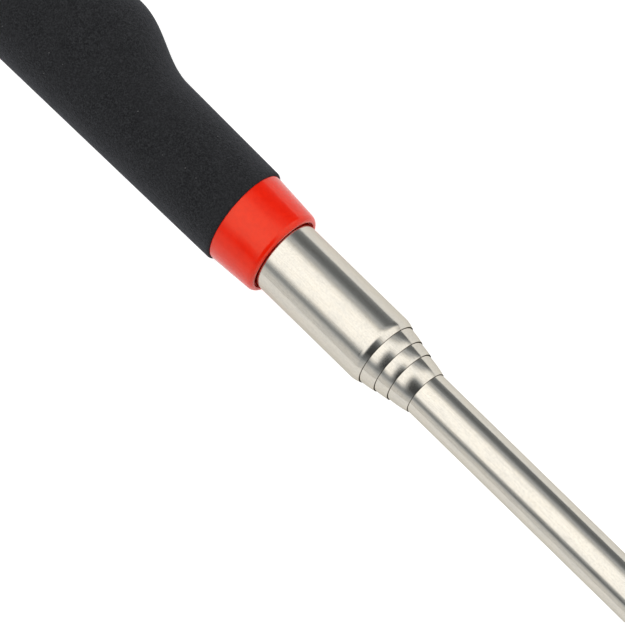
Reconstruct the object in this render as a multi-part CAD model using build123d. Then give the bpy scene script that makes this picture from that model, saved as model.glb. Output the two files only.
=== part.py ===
from build123d import *
import os
from math import cos, pi

# A telescoping pick-up reacher: foam grip with a red collar and end cap, five nested steel
# tubes, and a pot magnet on a swivelling head at the tip. Sizes are in millimetres.
#
# Frame: +X runs along the tool to the tip, +Y is the swollen side of the grip, and +Z is up
# with the tool lying on its side. The origin is the centre of the hang hole.

# ---------------------------------------------------------------- end cap and hang hole
hang_hole_radius = 3.0
lug_rim = 4.0  # material round the hole
lug_neck = 2.0  # from the round of the lug to the back of the cap
lug_thickness = 5.0
lug_edge = 1.0
cap_thickness = 4.0
cap_edge = 1.6
cap_spigot_length = 9.0
cap_pin_radius = 1.0
bumper_thickness = 2.0
bumper_clearance = 0.2

# ---------------------------------------------------------------- foam grip
grip_length = 119.6
grip_thickness = 3.7  # of the foam over tube 1
grip_front_thickness = 2.87  # at the collar, where the grip is slimmer
grip_taper_length = 60.0
grip_flat = 0.05  # how far the section is drawn out even where the grip has no swell
swell_start = 28.2  # distances behind the grip's front end
swell_crest = 47.3
saddle_place = 74.0
rear_crest = 102.0
swell_height = 5.1
saddle_height = 1.6
rear_height = 4.2
tail_height = 3.2
sections_per_wave = 6

# ---------------------------------------------------------------- front collar
collar_length = 11.6
collar_mouth_gap = 0.45  # between the collar's mouth and tube 1
collar_mouth_depth = 1.2
collar_lip = 1.2
collar_taper = 0.75
collar_edge = 1.0
collar_spigot_wall = 1.3
collar_spigot_length = 8.0
lip_share = 0.9  # the most of the lip that its rounding may take

# ---------------------------------------------------------------- telescoping tubes
tube_1_radius = 8.0
tube_steps = [0.65, 0.75, 0.65, 1.0]  # by how much each tube's radius is less than the last one's
tube_wall = 0.25
shoulder_lengths = [2.3, 5.0, 4.6, 6.4]  # where tubes 1 to 4 are rolled in at the front
rim_wall = 0.12  # what rolling leaves of the wall at a rim
rim_clearance = 0.05  # between a rim and the tube that slides in it
tube_1_show = 29.7  # from the collar to the rim of tube 1
rim_steps = [3.5, 3.15, 4.7]  # from rim to rim with tubes 2 to 4 pushed in
tube_5_out = 100.0  # how far tube 5 stands out of tube 4 at rest
tube_5_pushed_in = 5.0  # how far it stands out when pushed in
seat_gap = 0.3  # between the pushed-in tubes and the rear bumper

# ---------------------------------------------------------------- stop bushes and springs
bush_length = 5.0
bush_lip = 0.8
bush_clearance = 0.04
spring_length = 13.0
spring_thickness = 0.2
spring_clearance = 0.03
spring_gap = 0.3  # between the bush and the springs
spring_arc = 150.0
peg_radius = 0.6
peg_inset = 1.6
peg_clearance = 0.1

# ---------------------------------------------------------------- swivel head
socket_plug_length = 8.0
socket_flange_stand = 0.4  # how far the flange stands out of tube 5
socket_flange_thickness = 1.2
fork_base = 2.6  # from the flange to the bottom of the slot
fork_ear = 2.2
fork_overlap = 0.4  # how much wider the fork is than the tongue
tongue_half_height = 1.6
tongue_rim = 2.1
slot_end_gap = 0.6
washer_thickness = 0.4
washer_width = 1.85
washer_clearance = 0.02
rivet_radius = 1.5
rivet_head_stand = 1.0
rivet_head_thickness = 0.8
rivet_head_edge = 0.5
pivot_clearance = 0.05

fork_gap = 1.2  # between the fork and the neck of the housing
neck_length = 1.8
housing_length = 16.0
housing_radius = 11.7
housing_wall = 1.2
housing_floor = 4.0
housing_edge = 1.5
neck_small_radius = 4.2
neck_large_radius = 7.0
cup_wall = 1.0
cup_floor = 2.0
cup_stand = 1.0  # how far the pot stands out of its housing
ring_width = 1.6
magnet_thickness = 7.0
ring_recess = 0.5

# ---------------------------------------------------------------- sizes across the axis
tube_radii = [tube_1_radius - sum(tube_steps[:i]) for i in range(len(tube_steps) + 1)]
bores = [radius - tube_wall for radius in tube_radii]
last = len(tube_steps)
lug_radius = hang_hole_radius + lug_rim
grip_radius = tube_1_radius + grip_thickness
grip_front_radius = tube_1_radius + grip_front_thickness
collar_spigot_radius = tube_1_radius + collar_spigot_wall
collar_mouth_radius = tube_1_radius + collar_mouth_gap
collar_front_radius = collar_mouth_radius + collar_lip
collar_rear_radius = collar_front_radius + collar_taper
socket_flange_radius = tube_radii[last] + socket_flange_stand
tongue_radius = rivet_radius + tongue_rim
fork_radius = tongue_radius + fork_overlap
slot_half_height = tongue_half_height + washer_clearance + washer_thickness
fork_half_height = slot_half_height + fork_ear
cup_radius = housing_radius - housing_wall
cup_bore = cup_radius - cup_wall
magnet_radius = cup_bore - ring_width

# ---------------------------------------------------------------- places along the axis
cap_back = lug_radius + lug_neck
grip_back = cap_back + cap_thickness
grip_front = grip_back + grip_length
collar_front = grip_front + collar_length
rim_1 = collar_front + tube_1_show
rim_2 = rim_1 + rim_steps[0]
rim_3 = rim_2 + rim_steps[1]
rim_4 = rim_3 + rim_steps[2]
front_5 = rim_4 + tube_5_out
spigot_front = grip_back + cap_spigot_length
bumper_front = spigot_front + bumper_thickness
pushed_in_rear = bumper_front + seat_gap + bush_lip
rear_5 = pushed_in_rear + tube_5_out - tube_5_pushed_in
slot_back = front_5 + socket_flange_thickness + fork_base
pivot = slot_back + slot_end_gap + tongue_radius
neck_front = pivot + fork_radius + fork_gap
housing_back = neck_front + neck_length
housing_front = housing_back + housing_length
cup_back = housing_back + housing_floor
cup_front = housing_front + cup_stand
magnet_back = cup_back + cup_floor
magnet_front = magnet_back + magnet_thickness

fronts = [rim_1, rim_2, rim_3, rim_4, front_5]
rears = [grip_back, pushed_in_rear, pushed_in_rear, pushed_in_rear, rear_5]


def save(name, *solids):
    """Writes one node, which may hold several separate solids."""
    shape = solids[0] if len(solids) == 1 else Compound(children=list(solids))
    export_step(shape, "parts/" + name + ".step")


def turned(points):
    """A solid of revolution about X, from its half outline as (along, out) points."""
    return revolve(make_face(Polyline(*points, close=True)), Axis.X, 360)


def ring(start, end, inner, outer):
    """A plain ring round the X axis."""
    return turned([(start, inner), (end, inner), (end, outer), (start, outer)])


def disc(start, end, radius):
    """A plain disc on the X axis."""
    return Pos((start + end) / 2, 0, 0) * Rot(0, 90, 0) * Cylinder(radius, end - start)


def slab(start, end, half_width, half_height):
    """A block on the X axis."""
    return Pos((start + end) / 2, 0, 0) * Box(end - start, 2 * half_width, 2 * half_height)


def upright(x, radius, half_height):
    """A cylinder that stands along Z at a place on the X axis."""
    return Pos(x, 0, 0) * Cylinder(radius, 2 * half_height)


# ---------------------------------------------------------------- grip, collar and end cap
def wave(start, end, share):
    """A smooth change from one height to another."""
    return start + (end - start) * (1 - cos(pi * share)) / 2


swell_marks = [
    (0.0, 0.0),
    (swell_start, 0.0),
    (swell_crest, swell_height),
    (saddle_place, saddle_height),
    (rear_crest, rear_height),
    (grip_length, tail_height),
]


def swell_stations():
    """The places behind the grip's front end where its section is given, with its bulge to +Y."""
    stations = [swell_marks[0], (swell_start / 2, 0.0), swell_marks[1]]
    for (start, low), (end, high) in zip(swell_marks[1:], swell_marks[2:]):
        for step in range(1, sections_per_wave + 1):
            share = step / sections_per_wave
            stations.append((start + (end - start) * share, wave(low, high, share)))
    return stations


def grip_section(x, bulge):
    """The grip's outline across X: a circle drawn out to +Y, so flat above and below."""
    taper = min(1, (grip_front - x) / grip_taper_length)
    radius = grip_front_radius + (grip_radius - grip_front_radius) * taper
    flat = grip_flat + bulge
    bottom = Vector(x, 0, -radius)
    bottom_far = Vector(x, flat, -radius)
    top = Vector(x, 0, radius)
    top_far = Vector(x, flat, radius)
    edges = [
        Line(bottom, bottom_far),
        ThreePointArc(bottom_far, Vector(x, flat + radius, 0), top_far),
        Line(top_far, top),
        ThreePointArc(top, Vector(x, -radius, 0), bottom),
    ]
    return Face(Wire(edges))


def foam_grip():
    faces = [grip_section(grip_front - place, bulge) for place, bulge in swell_stations()]
    grip = Solid.make_loft([face.outer_wire() for face in faces], ruled=True)
    grip -= disc(grip_back, grip_front, tube_1_radius)
    grip -= disc(grip_front - collar_spigot_length, grip_front, collar_spigot_radius)
    return grip


def front_collar():
    """A tapered collar with a wide mouth, and a spigot that holds the end of the foam."""
    mouth_end = collar_front - collar_mouth_depth
    spigot_end = grip_front - collar_spigot_length
    collar = turned(
        [
            (spigot_end, tube_1_radius),
            (mouth_end, tube_1_radius),
            (mouth_end, collar_mouth_radius),
            (collar_front, collar_mouth_radius),
            (collar_front, collar_front_radius),
            (grip_front, collar_rear_radius),
            (grip_front, collar_spigot_radius),
            (spigot_end, collar_spigot_radius),
        ]
    )
    front_edges = collar.edges().filter_by(GeomType.CIRCLE).group_by(Axis.X)[-1]
    outer_edge = front_edges.sort_by(SortBy.RADIUS)[-1]
    return fillet(outer_edge, min(collar_edge, lip_share * collar_lip))


def cap_pin(length):
    """The pin across the end cap's spigot, as a plain cylinder along Y."""
    place = grip_back + cap_spigot_length / 2
    return Pos(place, 0, 0) * Rot(90, 0, 0) * Cylinder(cap_pin_radius, length)


def end_cap():
    back_face = grip_section(cap_back, tail_height)
    flange = extrude(back_face, cap_thickness, dir=(1, 0, 0))
    flange = fillet(flange.edges().group_by(Axis.X)[0], cap_edge)
    stem_length = cap_back + cap_edge
    stem = Pos(stem_length / 2, 0) * Rectangle(stem_length, 2 * lug_radius)
    lug = extrude(Circle(lug_radius) + stem, lug_thickness / 2, both=True)
    rims = lug.edges().group_by(Axis.Z)
    lug = fillet(rims[0] + rims[-1], lug_edge)
    cap = flange + lug + disc(grip_back, spigot_front, bores[0])
    cap -= Cylinder(hang_hole_radius, 2 * lug_thickness)
    return cap - cap_pin(4 * tube_1_radius)


def end_cap_pin():
    return cap_pin(4 * tube_1_radius) & disc(grip_back, spigot_front, tube_1_radius)


def rear_bumper():
    return disc(spigot_front, bumper_front, bores[0] - bumper_clearance)


# ---------------------------------------------------------------- tubes
def tube(i):
    """Tube i + 1. Every tube but the last is rolled in at the front to a rim round the next one."""
    rear, front = rears[i], fronts[i]
    radius, bore = tube_radii[i], bores[i]
    if i == last:
        return ring(rear, front, bore, radius)
    shoulder = front - shoulder_lengths[i]
    rim_bore = tube_radii[i + 1] + rim_clearance
    rim_radius = rim_bore + rim_wall
    outline = [
        Polyline((shoulder, bore), (rear, bore), (rear, radius), (shoulder, radius)),
        TangentArc((shoulder, radius), (front, rim_radius), tangent=(1, 0)),
        Line((front, rim_radius), (front, rim_bore)),
        TangentArc((shoulder, bore), (front, rim_bore), tangent=(1, 0)),
    ]
    return revolve(make_face(Curve() + outline), Axis.X, 360)


def spring_rear(i):
    return rears[i] + bush_length + spring_gap


def spring_bow(i):
    """How far the middle of a spring stands off the tube it rides on."""
    return bores[i - 1] - spring_clearance - spring_thickness - tube_radii[i]


def pegs(i, radius, inner):
    """The two pegs of a pair of springs, from an inner radius out to the springs themselves."""
    off_middle = 1 - 2 * peg_inset / spring_length
    outer = tube_radii[i] + spring_thickness / 2 + spring_bow(i) * (1 - off_middle**2)
    place = Pos(spring_rear(i) + peg_inset, (inner + outer) / 2, 0)
    peg = place * Rot(90, 0, 0) * Cylinder(radius, outer - inner)
    return [peg, mirror(peg, Plane.XZ)]


def sliding_tube(i):
    """A tube with the holes that take its springs' pegs."""
    near_hole, far_hole = pegs(i, peg_radius + peg_clearance, bores[i] - tube_wall)
    return tube(i) - near_hole - far_hole


def stop_bush(i):
    """A ring pressed on the rear end of a tube, with a lip over the tube's end."""
    rear, outer = rears[i], bores[i - 1] - bush_clearance
    return turned(
        [
            (rear - bush_lip, bores[i]),
            (rear, bores[i]),
            (rear, tube_radii[i]),
            (rear + bush_length, tube_radii[i]),
            (rear + bush_length, outer),
            (rear - bush_lip, outer),
        ]
    )


def friction_springs(i):
    """Two bowed half shells round the tube, which rub inside the tube outside it."""
    start, foot = spring_rear(i), tube_radii[i]
    end, middle = start + spring_length, start + spring_length / 2
    under = foot + spring_bow(i)
    over = under + spring_thickness
    outline = [
        Line((start, foot), (start, foot + spring_thickness)),
        ThreePointArc((start, foot + spring_thickness), (middle, over), (end, foot + spring_thickness)),
        Line((end, foot + spring_thickness), (end, foot)),
        ThreePointArc((end, foot), (middle, under), (start, foot)),
    ]
    leaf = revolve(make_face(Wire(outline)), Axis.X, spring_arc)
    leaf = Rot(-spring_arc / 2, 0, 0) * leaf
    near_peg, far_peg = pegs(i, peg_radius, bores[i] + peg_clearance)
    return leaf + near_peg, mirror(leaf, Plane.XZ) + far_peg


# ---------------------------------------------------------------- swivel head
def head_socket():
    """A plug in the end of the last tube, with a fork for the head's tongue."""
    flange_front = front_5 + socket_flange_thickness
    plug = disc(front_5 - socket_plug_length, front_5, bores[last])
    flange = disc(front_5, flange_front, socket_flange_radius)
    fork = slab(front_5, pivot, fork_radius, fork_half_height)
    fork += upright(pivot, fork_radius, fork_half_height)
    fork &= disc(front_5, pivot + fork_radius, tube_radii[last])
    fork -= slab(slot_back, pivot + 2 * fork_radius, 2 * fork_radius, slot_half_height)
    return plug + flange + fork - upright(pivot, rivet_radius, 2 * fork_half_height)


def pivot_rivet():
    shank = upright(pivot, rivet_radius, fork_half_height)
    head_middle = fork_half_height + rivet_head_thickness / 2
    head = Cylinder(rivet_radius + rivet_head_stand, rivet_head_thickness)
    head = fillet(head.edges().group_by(Axis.Z)[-1], rivet_head_edge)
    top = Pos(pivot, 0, head_middle) * head
    return shank + top + mirror(top, Plane.XY)


def pivot_washers():
    bore = rivet_radius + pivot_clearance
    washer = Cylinder(bore + washer_width, washer_thickness) - Cylinder(bore, 2 * washer_thickness)
    height = tongue_half_height + washer_clearance + washer_thickness / 2
    return Pos(pivot, 0, height) * washer, Pos(pivot, 0, -height) * washer


def magnet_housing():
    """The head's shell, with the tongue that swings in the fork."""
    shell = turned(
        [
            (neck_front, 0),
            (neck_front, neck_small_radius),
            (housing_back, neck_large_radius),
            (housing_back, housing_radius),
            (housing_front, housing_radius),
            (housing_front, cup_radius),
            (cup_back, cup_radius),
            (cup_back, 0),
        ]
    )
    rims = shell.edges().filter_by(GeomType.CIRCLE)
    shoulder = rims.filter_by_position(Axis.X, housing_back - 0.01, housing_back + 0.01)
    shell = fillet(shoulder.sort_by(SortBy.RADIUS)[-1], housing_edge)
    tongue = slab(pivot, housing_back, tongue_radius, tongue_half_height)
    tongue += upright(pivot, tongue_radius, tongue_half_height)
    hole = upright(pivot, rivet_radius + pivot_clearance, 2 * tongue_half_height)
    return shell + tongue - hole


def magnet_cup():
    cup = disc(cup_back, cup_front, cup_radius)
    return cup - disc(magnet_back, cup_front, cup_bore)


def build():
    os.makedirs("parts", exist_ok=True)
    save("foam_grip", foam_grip())
    save("front_collar", front_collar())
    save("end_cap", end_cap())
    save("end_cap_pin", end_cap_pin())
    save("rear_bumper", rear_bumper())
    save("tube_1", tube(0) - cap_pin(4 * tube_1_radius))
    for i in range(1, last + 1):
        number = str(i + 1)
        save("tube_" + number, sliding_tube(i))
        save("stop_bush_" + number, stop_bush(i))
        save("friction_springs_" + number, *friction_springs(i))
    save("head_socket", head_socket())
    save("pivot_rivet", pivot_rivet())
    save("pivot_washers", *pivot_washers())
    save("magnet_housing", magnet_housing())
    save("magnet_cup", magnet_cup())
    save("magnet_disc", disc(magnet_back, magnet_front, magnet_radius))
    save("pole_plate", disc(magnet_front, cup_front, magnet_radius))
    ring_front = cup_front - ring_recess
    save("insulating_ring", ring(magnet_back, ring_front, magnet_radius, cup_bore))


build()
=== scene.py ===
import bpy
import math
from mathutils import Matrix, Vector


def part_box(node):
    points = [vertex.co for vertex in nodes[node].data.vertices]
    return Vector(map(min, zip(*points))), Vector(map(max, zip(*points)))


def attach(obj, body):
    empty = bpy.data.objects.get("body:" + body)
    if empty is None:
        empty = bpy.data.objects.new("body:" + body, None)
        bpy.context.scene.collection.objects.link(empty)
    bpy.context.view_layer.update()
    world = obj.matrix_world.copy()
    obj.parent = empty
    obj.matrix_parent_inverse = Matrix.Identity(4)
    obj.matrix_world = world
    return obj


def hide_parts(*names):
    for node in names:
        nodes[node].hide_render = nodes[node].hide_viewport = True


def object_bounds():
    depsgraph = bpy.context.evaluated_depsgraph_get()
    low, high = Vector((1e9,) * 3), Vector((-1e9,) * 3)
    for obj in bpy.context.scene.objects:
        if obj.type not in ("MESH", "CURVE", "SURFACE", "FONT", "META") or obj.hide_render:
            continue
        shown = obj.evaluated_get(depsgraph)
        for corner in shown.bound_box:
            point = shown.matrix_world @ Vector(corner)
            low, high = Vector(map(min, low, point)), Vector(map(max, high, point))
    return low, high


# A telescoping pick-up reacher lying on a pale floor. The CAD frame runs along +X from the hang
# hole to the magnet, with the swollen side of the grip towards +Y. Lengths here are in metres.

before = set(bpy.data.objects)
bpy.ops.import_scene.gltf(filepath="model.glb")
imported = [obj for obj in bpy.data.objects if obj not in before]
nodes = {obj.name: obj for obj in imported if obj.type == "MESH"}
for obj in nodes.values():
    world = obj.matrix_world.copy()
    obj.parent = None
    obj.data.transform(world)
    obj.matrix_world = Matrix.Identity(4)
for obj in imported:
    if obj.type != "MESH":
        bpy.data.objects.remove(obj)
cad_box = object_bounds()

MM = 0.001
ROUND = 160  # flat sides round a turned piece

# Sizes that the frame's boxes don't give
TUBE_WALL = 0.25 * MM
RIM_CLEARANCE = 0.05 * MM
RIM_WALL = 0.12 * MM
RIM_ROUND = 0.04 * MM
RIM_LINE_START = 0.05 * MM  # how far behind a rim its painted seam shade starts
RIM_LINE_FULL = 0.02 * MM
SHOULDERS = {1: 2.3 * MM, 2: 5.0 * MM, 3: 4.6 * MM, 4: 6.4 * MM}
SPIGOT_WALL = 1.3 * MM
MOUTH_GAP = 0.45 * MM
MOUTH_DEPTH = 1.2 * MM
COLLAR_LIP = 1.2 * MM

TUBES = [1, 2, 3, 4, 5]
BODY_OF_TUBE = {1: "handle", 2: "section_2", 3: "section_3", 4: "section_4", 5: "section_5"}


def reach(node):
    """The rear end, the front end and the radius up and down of a node on the X axis."""
    low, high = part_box(node)
    return low[0], high[0], (high[2] - low[2]) / 2


# ---------------------------------------------------------------- camera and studio
CAMERA_TILT = math.radians(16.5)  # from straight above, towards the tip
CAMERA_ROLL = math.radians(44.34)
CAMERA_DISTANCE = 1.5
CAMERA_LENS = 432
CAMERA_AIM = (12.6 * MM, -4.2 * MM)  # from the middle of the collar's front


def make_camera():
    """Above the tool, a little towards its tip, and rolled so that the tool lies corner to corner."""
    collar_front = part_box("front_collar")[1][0]
    target = Vector((collar_front + CAMERA_AIM[0], CAMERA_AIM[1], 0))
    back = Vector((math.sin(CAMERA_TILT), 0, math.cos(CAMERA_TILT)))
    right = Vector((0, 1, 0)).cross(back).normalized()
    up = back.cross(right)
    turned_right = right * math.cos(CAMERA_ROLL) + up * math.sin(CAMERA_ROLL)
    turned_up = up * math.cos(CAMERA_ROLL) - right * math.sin(CAMERA_ROLL)
    data = bpy.data.cameras.new("camera")
    data.lens = CAMERA_LENS
    data.sensor_width = 36
    data.clip_start = 0.05
    data.clip_end = 20
    camera = bpy.data.objects.new("camera", data)
    bpy.context.scene.collection.objects.link(camera)
    turn = Matrix((turned_right, turned_up, back)).transposed().to_4x4()
    camera.matrix_world = Matrix.Translation(target + back * CAMERA_DISTANCE) @ turn
    bpy.context.scene.camera = camera


class Nodes:
    """A node tree with short ways to add a node and to join values."""

    def __init__(self, tree):
        self.tree = tree

    def add(self, kind, **settings):
        node = self.tree.nodes.new(kind)
        for name, value in settings.items():
            setattr(node, name, value)
        return node

    def join(self, source, target):
        self.tree.links.new(source, target)

    def feed(self, socket, value):
        """Sets a socket to a constant, or links it to another node's output."""
        if isinstance(value, bpy.types.NodeSocket):
            self.join(value, socket)
        else:
            socket.default_value = value

    def math(self, operation, a, b=0.0, c=0.0):
        node = self.add("ShaderNodeMath", operation=operation)
        self.feed(node.inputs[0], a)
        self.feed(node.inputs[1], b)
        self.feed(node.inputs[2], c)
        return node.outputs[0]

    def ramp_between(self, value, low, high, start=0.0, end=1.0):
        """A smooth step: start where value is at low or under, end where it is at high or over."""
        node = self.add("ShaderNodeMapRange", interpolation_type="SMOOTHSTEP")
        self.feed(node.inputs["Value"], value)
        self.feed(node.inputs["From Min"], low)
        self.feed(node.inputs["From Max"], high)
        self.feed(node.inputs["To Min"], start)
        self.feed(node.inputs["To Max"], end)
        return node.outputs[0]

    def blend(self, share, a, b):
        """A number between a, where share is 0, and b, where it is 1."""
        node = self.add("ShaderNodeMix", data_type="FLOAT")
        self.feed(node.inputs[0], share)
        self.feed(node.inputs[2], a)
        self.feed(node.inputs[3], b)
        return node.outputs[0]

    def mix(self, share, a, b):
        """A colour mix: a where share is 0 and b where it is 1."""
        node = self.add("ShaderNodeMix", data_type="RGBA")
        self.feed(node.inputs[0], share)
        self.feed(node.inputs[6], a)
        self.feed(node.inputs[7], b)
        return node.outputs[2]

    def noise(self, place, scale, detail=2.0, roughness=0.5):
        node = self.add("ShaderNodeTexNoise")
        self.feed(node.inputs["Vector"], place)
        self.feed(node.inputs["Scale"], scale)
        self.feed(node.inputs["Detail"], detail)
        self.feed(node.inputs["Roughness"], roughness)
        return node.outputs[0]

    def stretched(self, place, stretch):
        node = self.add("ShaderNodeVectorMath", operation="MULTIPLY")
        self.feed(node.inputs[0], place)
        self.feed(node.inputs[1], stretch)
        return node.outputs[0]

    def split(self, place):
        node = self.add("ShaderNodeSeparateXYZ")
        self.feed(node.inputs[0], place)
        return node.outputs

    def place(self):
        """The point's place in the piece's own frame, which is the CAD frame at rest."""
        return self.add("ShaderNodeTexCoord").outputs["Object"]

    def bump(self, height, distance, strength=1.0, under=None):
        node = self.add("ShaderNodeBump")
        self.feed(node.inputs["Height"], height)
        self.feed(node.inputs["Distance"], distance)
        self.feed(node.inputs["Strength"], strength)
        if under is not None:
            self.join(under, node.inputs["Normal"])
        return node.outputs[0]


# Brightness of the studio by the angle round the tool's axis, from straight up. Angles are in
# degrees, positive towards +Y. A wide soft box hangs over the tool, with a narrow dark gap and a
# grey wall on its -Y side. On its +Y side are a grey panel, a dark curtain and a wall.
STUDIO = [
    (-180, 0.86),
    (-80, 0.86),
    (-72, 0.82),
    (-65, 0.62),
    (-58, 0.40),
    (-52, 0.48),
    (-43, 1.00),
    (-35, 1.47),
    (-26, 1.54),
    (0, 1.62),
    (20, 1.56),
    (29, 1.44),
    (36, 1.04),
    (43, 0.66),
    (51, 0.58),
    (60, 0.26),
    (70, 0.18),
    (82, 0.22),
    (92, 0.34),
    (101, 0.74),
    (112, 1.08),
    (180, 0.98),
]
# The same towards the tip, where a smaller light stands on the +Y side
STUDIO_TIP = [
    (-180, 0.84),
    (-84, 0.80),
    (-68, 0.62),
    (-56, 0.26),
    (-32, 0.06),
    (-6, 0.10),
    (8, 0.24),
    (20, 0.86),
    (32, 1.46),
    (76, 1.40),
    (94, 0.80),
    (108, 0.30),
    (122, 0.30),
    (138, 0.78),
    (180, 0.84),
]
STUDIO_TOP = 1.62  # the brightest level, so that the stops of the ramps stay within 1
WARM_LIGHT = (1.0, 0.99, 0.97, 1.0)  # of the bright levels
COOL_LIGHT = (0.94, 1.0, 1.06, 1.0)  # of the dark levels
GLARE = 1.3  # straight ahead of the tip

# Where the studio changes, in the X part of a direction
TIP_BLEND = (-0.03, 0.09)  # from STUDIO to STUDIO_TIP
GLARE_BLEND = (0.72, 0.86)
SKEW_START = -0.284  # from here on, the +Y side swings round
SKEW = 1.06  # how fast it swings towards the tip

# A black card on the -Y side. It fades in between the first two marks and out between the others.
CARD_ACROSS = (-0.175, -0.155, -0.118, -0.095)  # in shares of a turn from straight up
CARD_ALONG = (-0.275, -0.24, -0.2, -0.1)  # in the X part of a direction
CARD_SHADE = 0.62  # how much of the light it holds back


def studio_ramp(n, share, levels):
    """A ramp through (angle, brightness) marks, read at a share of the full turn."""
    ramp = n.add("ShaderNodeValToRGB")
    n.join(share, ramp.inputs[0])
    stops = ramp.color_ramp.elements
    while len(stops) > 1:
        stops.remove(stops[-1])
    for number, (angle, level) in enumerate(levels):
        place = (angle + 180) / 360
        stop = stops[0] if number == 0 else stops.new(place)
        stop.position = place
        value = level / STUDIO_TOP
        stop.color = (value, value, value, 1)
    return n.math("MULTIPLY", ramp.outputs[0], STUDIO_TOP)


def window(n, value, marks):
    """1 between the two inner marks, and 0 outside the two outer ones."""
    rise = n.ramp_between(value, marks[0], marks[1])
    fall = n.ramp_between(value, marks[2], marks[3])
    return n.math("SUBTRACT", rise, fall)


def make_studio():
    """The light by direction, and plain white where the camera sees past the floor."""
    world = bpy.data.worlds.new("studio")
    bpy.context.scene.world = world
    world.use_nodes = True
    n = Nodes(world.node_tree)
    world.node_tree.nodes.clear()
    direction = n.add("ShaderNodeTexCoord").outputs["Generated"]
    x, y, z = n.split(direction)
    turn = n.math("MULTIPLY", n.math("ARCTAN2", y, z), 0.5 / math.pi)
    ahead = studio_ramp(n, n.math("ADD", turn, 0.5), STUDIO_TIP)
    # The panel and the curtain on the +Y side stand askew: further round the nearer to the tip
    tipward = n.math("MAXIMUM", n.math("ADD", x, -SKEW_START), 0.0)
    askew = n.math("MULTIPLY", tipward, n.math("MAXIMUM", turn, 0.0))
    swung = n.math("MULTIPLY_ADD", askew, -SKEW, turn)
    above = studio_ramp(n, n.math("ADD", swung, 0.5), STUDIO)
    # Only the thin tube shows the card
    card = n.math("MULTIPLY", window(n, turn, CARD_ACROSS), window(n, x, CARD_ALONG))
    above = n.math("MULTIPLY", above, n.math("MULTIPLY_ADD", card, -CARD_SHADE, 1.0))
    level = n.blend(n.ramp_between(x, *TIP_BLEND), above, ahead)
    level = n.blend(n.ramp_between(x, *GLARE_BLEND), level, GLARE)
    light = n.add("ShaderNodeBackground")
    n.join(n.mix(n.ramp_between(level, 0.3, 1.0), COOL_LIGHT, WARM_LIGHT), light.inputs["Color"])
    n.join(level, light.inputs["Strength"])
    backdrop = n.add("ShaderNodeBackground")
    backdrop.inputs["Color"].default_value = (1, 1, 1, 1)
    seen = n.add("ShaderNodeLightPath").outputs["Is Camera Ray"]
    both = n.add("ShaderNodeMixShader")
    n.join(seen, both.inputs[0])
    n.join(light.outputs[0], both.inputs[1])
    n.join(backdrop.outputs[0], both.inputs[2])
    output = n.add("ShaderNodeOutputWorld")
    n.join(both.outputs[0], output.inputs[0])


FLOOR_HALF = 3.0
FLOOR_EDGE = 0.14  # on the +Y side
FLOOR_GAP = 0.02 * MM
FLOOR_GREY = (0.6, 0.6, 0.6, 1)
FLOOR_GLOW = 0.4
FLOOR_EXTRA_GLOW = 0.35  # where the camera sees the floor itself


def make_floor():
    """A pale table top. It ends on the +Y side, so that the dark curtain reaches under the horizon."""
    z = cad_box[0][2] - FLOOR_GAP
    near = [(-FLOOR_HALF, -FLOOR_HALF, z), (FLOOR_HALF, -FLOOR_HALF, z)]
    far = [(FLOOR_HALF, FLOOR_EDGE, z), (-FLOOR_HALF, FLOOR_EDGE, z)]
    mesh = bpy.data.meshes.new("floor")
    mesh.from_pydata(near + far, [], [(0, 1, 2, 3)])
    floor = bpy.data.objects.new("floor", mesh)
    bpy.context.scene.collection.objects.link(floor)
    material, n, shader = new_material("floor")
    shader.inputs["Base Color"].default_value = FLOOR_GREY
    shader.inputs["Roughness"].default_value = 0.9
    shader.inputs["Specular IOR Level"].default_value = 0.1
    shader.inputs["Emission Color"].default_value = (1, 1, 1, 1)
    seen = n.add("ShaderNodeLightPath").outputs["Is Camera Ray"]
    glow = n.math("MULTIPLY_ADD", seen, FLOOR_EXTRA_GLOW, FLOOR_GLOW)
    n.join(glow, shader.inputs["Emission Strength"])
    mesh.materials.append(material)


def make_lamp(name, place, aim, size, power):
    """A soft lamp that lights dull surfaces and doesn't show in shiny ones."""
    data = bpy.data.lights.new(name, "AREA")
    data.shape = "DISK"
    data.size = size
    data.energy = power
    data.color = (1.0, 0.99, 0.975)
    lamp = bpy.data.objects.new(name, data)
    bpy.context.scene.collection.objects.link(lamp)
    lamp.location = place
    lamp.rotation_euler = (Vector(aim) - Vector(place)).to_track_quat("-Z", "Y").to_euler()
    lamp.visible_glossy = False


# ---------------------------------------------------------------- materials
def new_material(name):
    """(the material, its nodes, its shader) for a new material."""
    material = bpy.data.materials.new(name)
    material.use_nodes = True
    shader = material.node_tree.nodes["Principled BSDF"]
    return material, Nodes(material.node_tree), shader


STEEL = (0.61, 0.572, 0.50, 1)
STEEL_COOL = (0.59, 0.565, 0.51, 1)
STEEL_PALE = (0.73, 0.70, 0.635, 1)
STEEL_DARK = (0.45, 0.42, 0.38, 1)
STEEL_EDGE = (0.76, 0.74, 0.69, 1)  # of light that only grazes the tube
# Painted shade for the dark seam line at the end of each rim
SEAM_SHADE = (0.09, 0.072, 0.056, 1)


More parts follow.
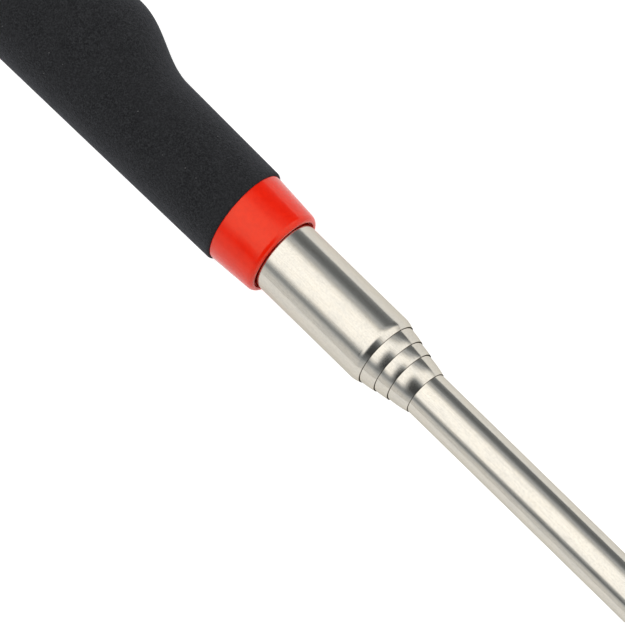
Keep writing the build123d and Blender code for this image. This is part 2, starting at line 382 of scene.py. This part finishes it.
def tube_steel(name, front=None):
    """Drawn stainless tube: faint lines along it, clouds, fine mottling, and painted shade at its rim
    standing in for the shadow in the seam.
    """
    material, n, shader = new_material(name)
    place = n.place()
    lines = n.noise(n.stretched(place, (260, 4200, 4200)), 1.0, 3.0, 0.6)
    clouds = n.noise(n.stretched(place, (260, 520, 520)), 1.0, 4.0, 0.6)
    rings = n.noise(n.stretched(place, (9000, 60, 60)), 1.0, 2.0, 0.5)
    mottle = n.noise(n.stretched(place, (1900, 2400, 2400)), 1.0, 3.0, 0.65)
    tint = n.mix(n.ramp_between(clouds, 0.3, 0.7), STEEL, STEEL_COOL)
    tint = n.mix(n.ramp_between(lines, 0.3, 0.7, 0.0, 0.36), tint, STEEL_PALE)
    tint = n.mix(n.ramp_between(clouds, 0.5, 0.72, 0.0, 0.16), tint, STEEL_DARK)
    tint = n.mix(n.ramp_between(mottle, 0.4, 0.75, 0.0, 0.3), tint, STEEL_DARK)
    # Painted shade: the outside of the rim darkens over its last few hundredths of a millimetre,
    # standing in for the shadow in the seam with the next tube.
    if front is not None:
        x = n.split(place)[0]
        edge = n.ramp_between(x, front - RIM_LINE_START, front - RIM_LINE_FULL)
        tint = n.mix(edge, tint, SEAM_SHADE)
    n.join(tint, shader.inputs["Base Color"])
    shader.inputs["Metallic"].default_value = 1.0
    shader.inputs["Specular Tint"].default_value = STEEL_EDGE
    rough = n.ramp_between(clouds, 0.25, 0.75, 0.10, 0.15)
    n.join(rough, shader.inputs["Roughness"])
    relief = n.bump(lines, 0.006 * MM, 0.6)
    relief = n.bump(mottle, 0.002 * MM, 0.5, relief)
    relief = n.bump(rings, 0.002 * MM, 0.5, relief)
    n.join(relief, shader.inputs["Normal"])
    return material


FOAM_DARK = (0.0010, 0.0012, 0.0018, 1)
FOAM_PALE = (0.0265, 0.0275, 0.0300, 1)
FOAM_TUFT = (0.0030, 0.0032, 0.0040, 1)
FOAM_WORN = (0.0150, 0.0155, 0.0172, 1)
FOAM_SPECK = (0.16, 0.16, 0.16, 1)


def foam_material():
    """Black closed-cell foam: a fine grain of open skin cells, and a few pale specks."""
    material, n, shader = new_material("foam")
    place = n.place()
    grain = n.noise(place, 3000, 3.0, 0.6)
    tufts = n.noise(place, 1100, 2.0, 0.5)
    patches = n.noise(place, 180, 3.0, 0.5)
    cells = n.add("ShaderNodeTexVoronoi")
    n.join(place, cells.inputs["Vector"])
    cells.inputs["Scale"].default_value = 2600
    pits = n.ramp_between(cells.outputs["Distance"], 0.1, 0.55)
    speck = n.add("ShaderNodeTexVoronoi")
    n.join(place, speck.inputs["Vector"])
    speck.inputs["Scale"].default_value = 1300
    chance = n.split(speck.outputs["Color"])[0]
    near = n.ramp_between(speck.outputs["Distance"], 0.12, 0.2, 1.0, 0.0)
    specks = n.math("MULTIPLY", near, n.ramp_between(chance, 0.975, 0.98))
    tint = n.mix(n.ramp_between(grain, 0.3, 0.7), FOAM_DARK, FOAM_PALE)
    tint = n.mix(n.ramp_between(tufts, 0.3, 0.7, 0.0, 0.4), tint, FOAM_TUFT)
    tint = n.mix(n.ramp_between(patches, 0.35, 0.65, 0.0, 0.3), tint, FOAM_WORN)
    tint = n.mix(n.math("MULTIPLY", specks, 0.5), tint, FOAM_SPECK)
    n.join(tint, shader.inputs["Base Color"])
    shader.inputs["Roughness"].default_value = 0.92
    shader.inputs["Specular IOR Level"].default_value = 0.25
    shader.inputs["Sheen Weight"].default_value = 0.07
    shader.inputs["Sheen Roughness"].default_value = 0.5
    shader.inputs["Sheen Tint"].default_value = (0.8, 0.85, 1.0, 1)
    relief = n.bump(grain, 0.20 * MM, 0.9)
    relief = n.bump(tufts, 0.26 * MM, 0.6, relief)
    relief = n.bump(pits, 0.07 * MM, 0.5, relief)
    n.join(relief, shader.inputs["Normal"])
    return material


RED = (0.755, 0.0118, 0.0010, 1)
RED_DULL = (0.72, 0.0098, 0.0009, 1)
RED_DEEP = (0.64, 0.0060, 0.0006, 1)


def red_plastic():
    """Glossy moulded plastic with a hint of orange peel, slight mottling and duller clouds."""
    material, n, shader = new_material("red_plastic")
    place = n.place()
    peel = n.noise(place, 700, 2.0, 0.5)
    clouds = n.noise(place, 160, 3.0, 0.5)
    mottle = n.noise(place, 900, 3.0, 0.6)
    tint = n.mix(n.ramp_between(clouds, 0.3, 0.7), RED, RED_DULL)
    tint = n.mix(n.ramp_between(mottle, 0.35, 0.7, 0.0, 0.5), tint, RED_DEEP)
    n.join(tint, shader.inputs["Base Color"])
    n.join(n.ramp_between(clouds, 0.3, 0.75, 0.13, 0.18), shader.inputs["Roughness"])
    shader.inputs["Specular Tint"].default_value = (1.0, 0.95, 0.62, 1)
    shader.inputs["IOR"].default_value = 1.45
    n.join(n.bump(peel, 0.05 * MM, 0.4), shader.inputs["Normal"])
    return material


CHROME = (0.57, 0.56, 0.54, 1)
GROUND_STEEL = (0.50, 0.49, 0.48, 1)
SPRING_STEEL = (0.6, 0.6, 0.62, 1)
BRASS = (0.78, 0.58, 0.26, 1)
NICKEL = (0.55, 0.535, 0.50, 1)


def plated(name, colour, rough, grain=(3000, 3000, 3000)):
    """Plated or ground metal with a fine grain."""
    material, n, shader = new_material(name)
    place = n.place()
    fine = n.noise(n.stretched(place, grain), 1.0, 3.0, 0.6)
    clouds = n.noise(place, 300, 3.0, 0.5)
    dull = tuple(0.9 * c for c in colour[:3]) + (1,)
    n.join(n.mix(n.ramp_between(clouds, 0.3, 0.75), colour, dull), shader.inputs["Base Color"])
    shader.inputs["Metallic"].default_value = 1.0
    n.join(n.ramp_between(fine, 0.3, 0.7, rough, rough + 0.1), shader.inputs["Roughness"])
    n.join(n.bump(fine, 0.004 * MM, 0.5), shader.inputs["Normal"])
    return material


def dull_black(name, level, rough):
    """Rubber or resin of a dark grey level, with a fine grain."""
    material, n, shader = new_material(name)
    place = n.place()
    grain = n.noise(place, 1800, 3.0, 0.6)
    dark = (level, level, level * 1.05, 1)
    pale = (1.8 * level, 1.8 * level, 1.9 * level, 1)
    n.join(n.mix(n.ramp_between(grain, 0.3, 0.7), dark, pale), shader.inputs["Base Color"])
    shader.inputs["Roughness"].default_value = rough
    n.join(n.bump(grain, 0.03 * MM, 0.4), shader.inputs["Normal"])
    return material


def dress(piece, material):
    """Gives a piece, or a CAD node that stays, one material."""
    if not piece.material_slots:
        piece.data.materials.append(material)
    for place in piece.material_slots:
        place.material = material


# ---------------------------------------------------------------- mesh work
def new_piece(name, points, faces, sharp):
    """A smooth piece whose edges over the sharp angle, in degrees, stay crisp."""
    mesh = bpy.data.meshes.new(name)
    mesh.from_pydata(points, [], faces)
    mesh.validate()
    mesh.shade_smooth()
    mesh.set_sharp_from_angle(angle=math.radians(sharp))
    piece = bpy.data.objects.new(name, mesh)
    bpy.context.scene.collection.objects.link(piece)
    return piece


def shell(name, rings, sharp=35):
    """A closed skin through rings of points, the last ring joined to the first."""
    around = len(rings[0])
    points = [point for ring in rings for point in ring]
    faces = []
    for row in range(len(rings)):
        after = (row + 1) % len(rings)
        for step in range(around):
            beside = (step + 1) % around
            near, far = row * around, after * around
            faces.append((near + step, near + beside, far + beside, far + step))
    return new_piece(name, points, faces, sharp)


def turned(name, outline):
    """A closed outline of (along, out) points, turned about the X axis."""
    turns = [2 * math.pi * step / ROUND for step in range(ROUND)]
    rings = [[(x, r * math.cos(turn), r * math.sin(turn)) for turn in turns] for x, r in outline]
    return shell(name, rings)


def lean_at(x, marks):
    """The lean at x along (place, lean) marks, eased from each to the next."""
    for (a, low), (b, high) in zip(marks, marks[1:]):
        if x <= b:
            share = max(0.0, (x - a) / (b - a))
            return low + (high - low) * share * share * (3 - 2 * share)
    return marks[-1][1]


def lean(piece, marks):
    """Slants the cross sections of a piece, because the collar sits a little askew on the tube."""
    for vertex in piece.data.vertices:
        vertex.co.x -= lean_at(vertex.co.x, marks) * vertex.co.y


def arc(centre, radius, start, end, steps=5):
    """Points on an arc, with angles in degrees from the +X direction of the outline."""
    points = []
    for step in range(steps + 1):
        turn = math.radians(start + (end - start) * step / steps)
        points.append((centre[0] + radius * math.cos(turn), centre[1] + radius * math.sin(turn)))
    return points


ROLL_STEPS = 14


def rolled(start, end, large, small):
    """A rolled-in end: one arc from a large radius, where it runs straight on, to a small one."""
    length = end - start
    drop = large - small
    bend = (length**2 + drop**2) / (2 * drop)
    points = []
    for step in range(ROLL_STEPS + 1):
        x = length * step / ROLL_STEPS
        points.append((start + x, large - bend + math.sqrt(bend**2 - x**2)))
    return points


def make_tube(i):
    """A tube with its front end rolled in over the next tube, or the plain last tube."""
    rear, front, radius = reach("tube_" + str(i))
    bore = radius - TUBE_WALL
    name = "tube_" + str(i) + "_shell"
    if i == TUBES[-1]:
        outline = [(rear, bore), (rear, radius), (front, radius), (front, bore)]
        piece = turned(name, outline)
        dress(piece, tube_steel("steel_" + str(i)))
    else:
        inner = reach("tube_" + str(i + 1))[2] + RIM_CLEARANCE
        outer = inner + RIM_WALL
        shoulder = front - SHOULDERS[i]
        outline = [(rear, bore), (rear, radius), ((rear + shoulder) / 2, radius)]
        end = front - RIM_ROUND
        outline += rolled(shoulder, end, radius, outer)
        outline += arc((end, outer - RIM_ROUND), RIM_ROUND, 60, 0)
        outline += arc((end, inner + RIM_ROUND), RIM_ROUND, 0, -90)
        outline += reversed(rolled(shoulder, end, bore, inner))
        piece = turned(name, outline)
        dress(piece, tube_steel("steel_" + str(i), front))
    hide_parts("tube_" + str(i))
    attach(piece, BODY_OF_TUBE[i])


NOSE = 1.2 * MM  # length of the rounding at the collar's front
NOSE_DROP = 0.8 * MM
NOSE_STEPS = 10
MOUTH_CHAMFER = 0.15 * MM
BACK_EDGE = 0.2 * MM
COLLAR_LEAN = 0.075  # of its seam with the foam, along X for each step along Y
NOSE_LEAN = 0.045  # the same at its front


def make_collar():
    """The tapered ring in front of the foam, with a spigot under it and a mouth round the tube."""
    spigot_end, front, rear_radius = reach("front_collar")
    seam = reach("foam_grip")[1]
    tube = reach("tube_1")[2]
    mouth = tube + MOUTH_GAP
    front_radius = mouth + COLLAR_LIP
    spigot = tube + SPIGOT_WALL
    floor = front - MOUTH_DEPTH
    slope = (rear_radius - front_radius) / (front - seam)
    outline = [(spigot_end, tube), (spigot_end, spigot), (seam, spigot)]
    outline += arc((seam + BACK_EDGE, rear_radius - BACK_EDGE), BACK_EDGE, 180, 90)
    for step in range(NOSE_STEPS + 1):
        turn = math.pi / 2 * step / NOSE_STEPS
        along = front - NOSE + NOSE * math.sin(turn)
        out = front_radius + slope * (front - along)
        outline.append((along, out - NOSE_DROP * (1 - math.cos(turn))))
    outline += arc((front - MOUTH_CHAMFER, mouth + MOUTH_CHAMFER), MOUTH_CHAMFER, 0, -90, 4)
    outline += [(floor, mouth), (floor, tube)]
    piece = turned("front_collar_ring", outline)
    lean(piece, [(spigot_end, 0.0), (seam, COLLAR_LEAN), (front, NOSE_LEAN)])
    dress(piece, red_plastic())
    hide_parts("front_collar")
    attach(piece, "handle")


# ---------------------------------------------------------------- foam grip
# The swell of the grip to +Y, as (distance behind its front end, height)
SWELL = [
    (0.0, 0.0),
    (28.2 * MM, 0.0),
    (47.3 * MM, 5.1 * MM),
    (74.0 * MM, 1.6 * MM),
    (102.0 * MM, 4.2 * MM),
    (119.6 * MM, 3.2 * MM),
]
GRIP_FLAT = 0.05 * MM
GRIP_FRONT_RADIUS = 10.87 * MM
GRIP_TAPER = 60.0 * MM
GRIP_EDGE = 0.5 * MM
EDGE_STEPS = 6
BODY_STEPS = 150
LEAN_FADE = 20 * MM  # behind the collar's spigot, where the grip stops leaning


def swell(place):
    """The height of the swell at a distance behind the grip's front end."""
    for (a, low), (b, high) in zip(SWELL, SWELL[1:]):
        if place <= b:
            return low + (high - low) * (1 - math.cos(math.pi * (place - a) / (b - a))) / 2
    return SWELL[-1][1]


def grip_ring(x, radius, flat=0.0):
    """Points round the grip at x: a circle drawn out to +Y by flat."""
    points = []
    for step in range(ROUND):
        turn = 2 * math.pi * (step + 0.5) / ROUND
        y = radius * math.cos(turn)
        shift = flat if y > 0 else 0.0
        points.append((x, y + shift, radius * math.sin(turn)))
    return points


def make_grip():
    """The foam sleeve: its front end over the collar's spigot, its swell, and its rear end."""
    back, front, radius = reach("foam_grip")
    tube = reach("tube_1")[2]
    spigot = tube + SPIGOT_WALL
    spigot_end = reach("front_collar")[0]
    length = front - back
    body = length - 2 * GRIP_EDGE

    def outer(place, inset=0.0):
        taper = min(1.0, place / GRIP_TAPER)
        size = GRIP_FRONT_RADIUS + (radius - GRIP_FRONT_RADIUS) * taper - inset
        return grip_ring(front - place, size, GRIP_FLAT + swell(place))

    rounding = []  # (distance from the end, inset), from the body to the end
    for step in range(EDGE_STEPS + 1):
        turn = math.pi / 2 * step / EDGE_STEPS
        rounding.append((GRIP_EDGE * (1 - math.sin(turn)), GRIP_EDGE * (1 - math.cos(turn))))
    rings = [grip_ring(spigot_end, tube), grip_ring(spigot_end, spigot), grip_ring(front, spigot)]
    rings += [outer(place, inset) for place, inset in reversed(rounding)]
    rings += [outer(GRIP_EDGE + body * step / BODY_STEPS) for step in range(1, BODY_STEPS)]
    rings += [outer(length - place, inset) for place, inset in rounding]
    rings.append(grip_ring(back, tube))
    piece = shell("foam_grip_skin", rings, 50)
    lean(piece, [(spigot_end - LEAN_FADE, 0.0), (front, COLLAR_LEAN)])
    dress(piece, foam_material())
    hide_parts("foam_grip")
    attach(piece, "handle")


def dress_frame():
    """Materials for the CAD nodes that stay as they are."""
    red = red_plastic()
    bright = plated("plated", CHROME, 0.1)
    ground = plated("ground_steel", GROUND_STEEL, 0.22, (400, 400, 6000))
    strip = plated("spring_strip", SPRING_STEEL, 0.2, (5000, 300, 300))
    brass = plated("turned_brass", BRASS, 0.2, (7000, 200, 200))
    nickel = plated("nickel", NICKEL, 0.16)
    dress(nodes["end_cap"], red)
    dress(nodes["end_cap_pin"], ground)
    dress(nodes["rear_bumper"], dull_black("bumper_rubber", 0.025, 0.8))
    dress(nodes["insulating_ring"], dull_black("black_resin", 0.03, 0.5))
    dress(nodes["magnet_disc"], nickel)
    for name in ("magnet_cup", "pole_plate", "pivot_washers"):
        dress(nodes[name], ground)
    for name in ("head_socket", "pivot_rivet", "magnet_housing"):
        dress(nodes[name], bright)
    for i in TUBES[1:]:
        dress(nodes["stop_bush_" + str(i)], brass)
        dress(nodes["friction_springs_" + str(i)], strip)


bpy.context.scene.view_settings.view_transform = "Standard"
make_camera()
make_studio()
make_floor()
make_lamp("top_lamp", place=(-0.25, -0.1, 1.0), aim=(0.1, 0, 0), size=0.7, power=3.2)
for i in TUBES:
    make_tube(i)
make_collar()
make_grip()
dress_frame()
